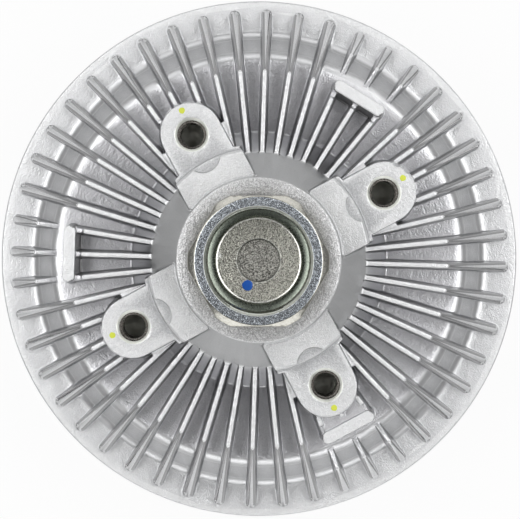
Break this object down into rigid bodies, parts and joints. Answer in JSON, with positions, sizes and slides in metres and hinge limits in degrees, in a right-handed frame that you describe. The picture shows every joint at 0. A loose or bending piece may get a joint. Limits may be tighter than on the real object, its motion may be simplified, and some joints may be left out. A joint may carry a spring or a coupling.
{
  "type": "viscous fan clutch",
  "caption": "Viscous fan clutch: finned die-cast housing with fan pads and pilot arms, threaded hexagon hub, and a front bimetal coil that swings an inner valve.",
  "frame": {"origin": "on the turning axis, at the front fin tips that the part lies on", "axes": "+Z along the turning axis from the front cover to the hub; +X through one fan bolt hole"},
  "size_m": [0.152, 0.152, 0.072],
  "materials": {
    "housing_casting": "die-cast, bright satin",
    "cover_casting": "die-cast, bright satin",
    "rotor_aluminium": "turned",
    "plated_steel": "yellow-green zinc plating",
    "bearing_steel": "ground",
    "ball_steel": "polished",
    "cage_polymer": "moulded",
    "valve_steel": "rolled",
    "bimetal": "rolled strip",
    "seal_rubber": "moulded"
  },
  "bodies": {
    "casing": {"housing": "housing_casting", "cover": "cover_casting", "cover_seal": "seal_rubber", "bearing_outer_ring": "bearing_steel", "bearing_seal_rear": "seal_rubber", "bearing_seal_front": "seal_rubber", "valve_plate": "valve_steel", "plate_rivets": "valve_steel", "valve_shaft_seal": "seal_rubber", "bimetal_coil": "bimetal"},
    "drive": {"hub_shaft": "plated_steel", "rotor": "rotor_aluminium", "bearing_inner_ring": "bearing_steel"},
    "ball_set": {"balls_rear_row": "ball_steel", "balls_front_row": "ball_steel", "cage_rear_row": "cage_polymer", "cage_front_row": "cage_polymer"},
    "valve": {"valve_shaft": "valve_steel", "valve_arm": "valve_steel", "valve_shaft_clip": "valve_steel"}
  },
  "joints": [
    {"name": "drive_spin", "type": "hinge", "parent": "casing", "child": "drive", "pos_m": [0, 0, 0.04], "axis": [0, 0, 1], "continuous": true},
    {"name": "ball_spin", "type": "hinge", "parent": "casing", "child": "ball_set", "pos_m": [0, 0, 0.04], "axis": [0, 0, 1], "continuous": true},
    {"name": "valve_swing", "type": "hinge", "parent": "casing", "child": "valve", "pos_m": [0, 0, 0.01], "axis": [0, 0, 1], "range_deg": [0, 35], "stiffness_Nm_per_rad": 0.02, "deforming": ["bimetal_coil"]}
  ],
  "couplings": [
    {"joint": "ball_spin", "follows": "drive_spin", "ratio": 0.3886}
  ]
}
